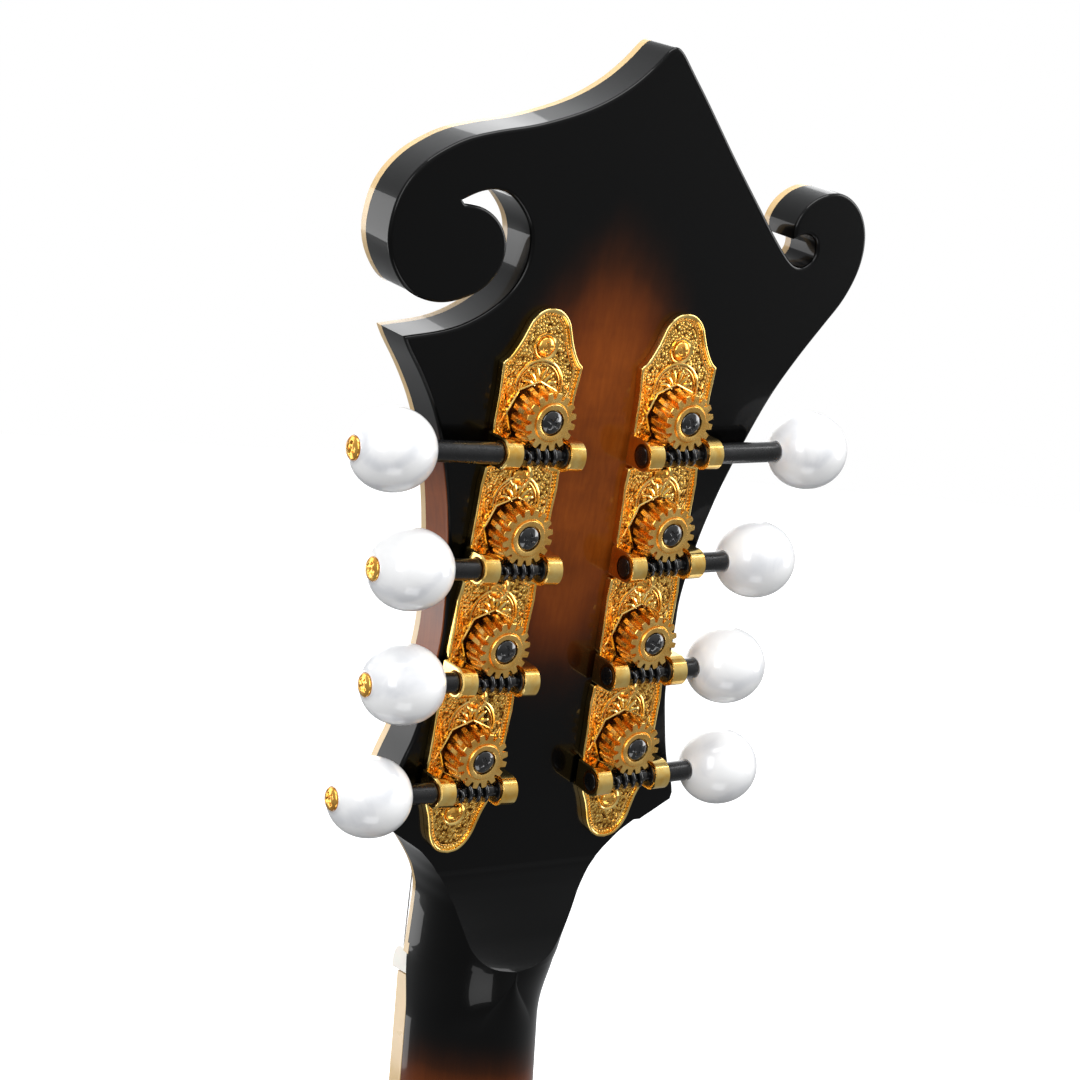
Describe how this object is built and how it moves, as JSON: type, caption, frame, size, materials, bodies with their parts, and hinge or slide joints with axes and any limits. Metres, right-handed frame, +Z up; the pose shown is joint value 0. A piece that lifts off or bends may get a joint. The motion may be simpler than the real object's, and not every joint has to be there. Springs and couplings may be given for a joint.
{
  "type": "mandolin",
  "caption": "F-style mandolin with a scrolled headstock, geared tuners that turn, carved hollow body with f-holes, height-adjustable bridge and a sliding tailpiece cover.",
  "frame": {"origin": "centre of the nut's lower edge on the fingerboard's playing plane", "axes": "+Z up the neck towards the headstock tip, -Y the strings' side, +Y the back, -X the bass side"},
  "size_m": [0.2525, 0.0972, 0.72],
  "materials": {
    "lacquered_neck": "black lacquer fading to tobacco brown, gloss",
    "face_veneer": "black lacquered veneer with a cream binding",
    "spruce_top": "sunburst lacquer over straight-grained softwood, gloss",
    "maple_body": "sunburst lacquer over figured hardwood, gloss",
    "raw_wood": "bare, sanded",
    "ebony": "dark hardwood, satin",
    "gold_plate": "gold-plated castings, polished with a stippled ground",
    "black_steel": "blackened steel, semi-gloss",
    "pearl_plastic": "white pearl, polished",
    "bone": "off-white, lightly polished",
    "steel": "bright steel",
    "bronze_wire": "bronze-wound steel wire"
  },
  "bodies": {
    "instrument": {"neck": "lacquered_neck", "headstock_overlay": "face_veneer", "truss_rod": "steel", "truss_rod_cover": "ebony", "nut": "bone", "fingerboard": "ebony", "top_plate": "spruce_top", "back_plate": "maple_body", "rib_bass": "maple_body", "rib_treble": "maple_body", "head_block": "raw_wood", "tail_block": "raw_wood", "tone_bar_bass": "raw_wood", "tone_bar_treble": "raw_wood", "bridge_base": "ebony", "bridge_post_bass": "gold_plate", "bridge_post_treble": "gold_plate", "tailpiece_base": "gold_plate", "end_pin": "ebony", "tuner_plate_bass": "gold_plate", "tuner_plate_treble": "gold_plate", "string_g_1": "bronze_wire", "string_g_2": "bronze_wire", "string_d_1": "bronze_wire", "string_d_2": "bronze_wire", "string_a_1": "steel", "string_a_2": "steel", "string_e_1": "steel", "string_e_2": "steel"},
    "button_bass_1": {"worm_shaft_bass_1": "black_steel", "tuner_button_bass_1": "pearl_plastic"},
    "post_bass_1": {"string_post_bass_1": "gold_plate"},
    "button_bass_2": {"worm_shaft_bass_2": "black_steel", "tuner_button_bass_2": "pearl_plastic"},
    "post_bass_2": {"string_post_bass_2": "gold_plate"},
    "button_bass_3": {"worm_shaft_bass_3": "black_steel", "tuner_button_bass_3": "pearl_plastic"},
    "post_bass_3": {"string_post_bass_3": "gold_plate"},
    "button_bass_4": {"worm_shaft_bass_4": "black_steel", "tuner_button_bass_4": "pearl_plastic"},
    "post_bass_4": {"string_post_bass_4": "gold_plate"},
    "button_treble_1": {"worm_shaft_treble_1": "black_steel", "tuner_button_treble_1": "pearl_plastic"},
    "post_treble_1": {"string_post_treble_1": "gold_plate"},
    "button_treble_2": {"worm_shaft_treble_2": "black_steel", "tuner_button_treble_2": "pearl_plastic"},
    "post_treble_2": {"string_post_treble_2": "gold_plate"},
    "button_treble_3": {"worm_shaft_treble_3": "black_steel", "tuner_button_treble_3": "pearl_plastic"},
    "post_treble_3": {"string_post_treble_3": "gold_plate"},
    "button_treble_4": {"worm_shaft_treble_4": "black_steel", "tuner_button_treble_4": "pearl_plastic"},
    "post_treble_4": {"string_post_treble_4": "gold_plate"},
    "bridge_top": {"bridge_saddle": "ebony"},
    "thumbwheel_bass": {"thumbwheel_bass": "gold_plate"},
    "thumbwheel_treble": {"thumbwheel_treble": "gold_plate"},
    "tailpiece_cover": {"tailpiece_cover": "gold_plate"},
    "truss_rod_nut": {"truss_rod_nut": "steel"}
  },
  "joints": [
    {"name": "button_turn_bass_1", "type": "hinge", "parent": "instrument", "child": "button_bass_1", "pos_m": [-0.01865, 0.03886, 0.11283], "axis": [-0.9995, 0.0052, 0.0306], "continuous": true},
    {"name": "post_turn_bass_1", "type": "hinge", "parent": "instrument", "child": "post_bass_1", "pos_m": [-0.01844, 0.04002, 0.11964], "axis": [0, 0.9859, -0.1676], "continuous": true},
    {"name": "button_turn_bass_2", "type": "hinge", "parent": "instrument", "child": "button_bass_2", "pos_m": [-0.01937, 0.03501, 0.09016], "axis": [-0.9995, 0.0052, 0.0306], "continuous": true},
    {"name": "post_turn_bass_2", "type": "hinge", "parent": "instrument", "child": "post_bass_2", "pos_m": [-0.01915, 0.03617, 0.09698], "axis": [0, 0.9859, -0.1676], "continuous": true},
    {"name": "button_turn_bass_3", "type": "hinge", "parent": "instrument", "child": "button_bass_3", "pos_m": [-0.02008, 0.03116, 0.0675], "axis": [-0.9995, 0.0052, 0.0306], "continuous": true},
    {"name": "post_turn_bass_3", "type": "hinge", "parent": "instrument", "child": "post_bass_3", "pos_m": [-0.01987, 0.03231, 0.07432], "axis": [0, 0.9859, -0.1676], "continuous": true},
    {"name": "button_turn_bass_4", "type": "hinge", "parent": "instrument", "child": "button_bass_4", "pos_m": [-0.02079, 0.0273, 0.04483], "axis": [-0.9995, 0.0052, 0.0306], "continuous": true},
    {"name": "post_turn_bass_4", "type": "hinge", "parent": "instrument", "child": "post_bass_4", "pos_m": [-0.02058, 0.02846, 0.05165], "axis": [0, 0.9859, -0.1676], "continuous": true},
    {"name": "button_turn_treble_1", "type": "hinge", "parent": "instrument", "child": "button_treble_1", "pos_m": [0.01489, 0.03886, 0.11283], "axis": [0.9995, 0.0052, 0.0306], "continuous": true},
    {"name": "post_turn_treble_1", "type": "hinge", "parent": "instrument", "child": "post_treble_1", "pos_m": [0.01468, 0.04002, 0.11964], "axis": [0, 0.9859, -0.1676], "continuous": true},
    {"name": "button_turn_treble_2", "type": "hinge", "parent": "instrument", "child": "button_treble_2", "pos_m": [0.01561, 0.03501, 0.09016], "axis": [0.9995, 0.0052, 0.0306], "continuous": true},
    {"name": "post_turn_treble_2", "type": "hinge", "parent": "instrument", "child": "post_treble_2", "pos_m": [0.01539, 0.03617, 0.09698], "axis": [0, 0.9859, -0.1676], "continuous": true},
    {"name": "button_turn_treble_3", "type": "hinge", "parent": "instrument", "child": "button_treble_3", "pos_m": [0.01632, 0.03116, 0.0675], "axis": [0.9995, 0.0052, 0.0306], "continuous": true},
    {"name": "post_turn_treble_3", "type": "hinge", "parent": "instrument", "child": "post_treble_3", "pos_m": [0.01611, 0.03231, 0.07432], "axis": [0, 0.9859, -0.1676], "continuous": true},
    {"name": "button_turn_treble_4", "type": "hinge", "parent": "instrument", "child": "button_treble_4", "pos_m": [0.01703, 0.0273, 0.04483], "axis": [0.9995, 0.0052, 0.0306], "continuous": true},
    {"name": "post_turn_treble_4", "type": "hinge", "parent": "instrument", "child": "post_treble_4", "pos_m": [0.01682, 0.02846, 0.05165], "axis": [0, 0.9859, -0.1676], "continuous": true},
    {"name": "saddle_lower", "type": "slide", "parent": "instrument", "child": "bridge_top", "axis": [0, 0.9945, 0.1045], "range_m": [0, 0.0014]},
    {"name": "thumbwheel_turn_bass", "type": "hinge", "parent": "bridge_top", "child": "thumbwheel_bass", "pos_m": [-0.027, 0.00285, -0.35142], "axis": [0, 0.9945, 0.1045], "range_deg": [0, 725]},
    {"name": "thumbwheel_turn_treble", "type": "hinge", "parent": "bridge_top", "child": "thumbwheel_treble", "pos_m": [0.027, 0.00285, -0.35142], "axis": [0, 0.9945, 0.1045], "range_deg": [0, 725]},
    {"name": "tailpiece_cover_slide", "type": "slide", "parent": "instrument", "child": "tailpiece_cover", "axis": [0, 0.296, -0.9552], "range_m": [0, 0.018]},
    {"name": "truss_rod_nut_turn", "type": "hinge", "parent": "instrument", "child": "truss_rod_nut", "pos_m": [0, 0.00885, 0.0127], "axis": [0, 0.1676, 0.9859], "range_deg": [-360, 360]}
  ],
  "couplings": [
    {"joint": "post_turn_bass_1", "follows": "button_turn_bass_1", "ratio": -0.0625},
    {"joint": "post_turn_bass_2", "follows": "button_turn_bass_2", "ratio": -0.0625},
    {"joint": "post_turn_bass_3", "follows": "button_turn_bass_3", "ratio": -0.0625},
    {"joint": "post_turn_bass_4", "follows": "button_turn_bass_4", "ratio": -0.0625},
    {"joint": "post_turn_treble_1", "follows": "button_turn_treble_1", "ratio": 0.0625},
    {"joint": "post_turn_treble_2", "follows": "button_turn_treble_2", "ratio": 0.0625},
    {"joint": "post_turn_treble_3", "follows": "button_turn_treble_3", "ratio": 0.0625},
    {"joint": "post_turn_treble_4", "follows": "button_turn_treble_4", "ratio": 0.0625},
    {"joint": "thumbwheel_turn_bass", "follows": "saddle_lower", "rad_per_m": 8976},
    {"joint": "thumbwheel_turn_treble", "follows": "saddle_lower", "rad_per_m": 8976}
  ]
}
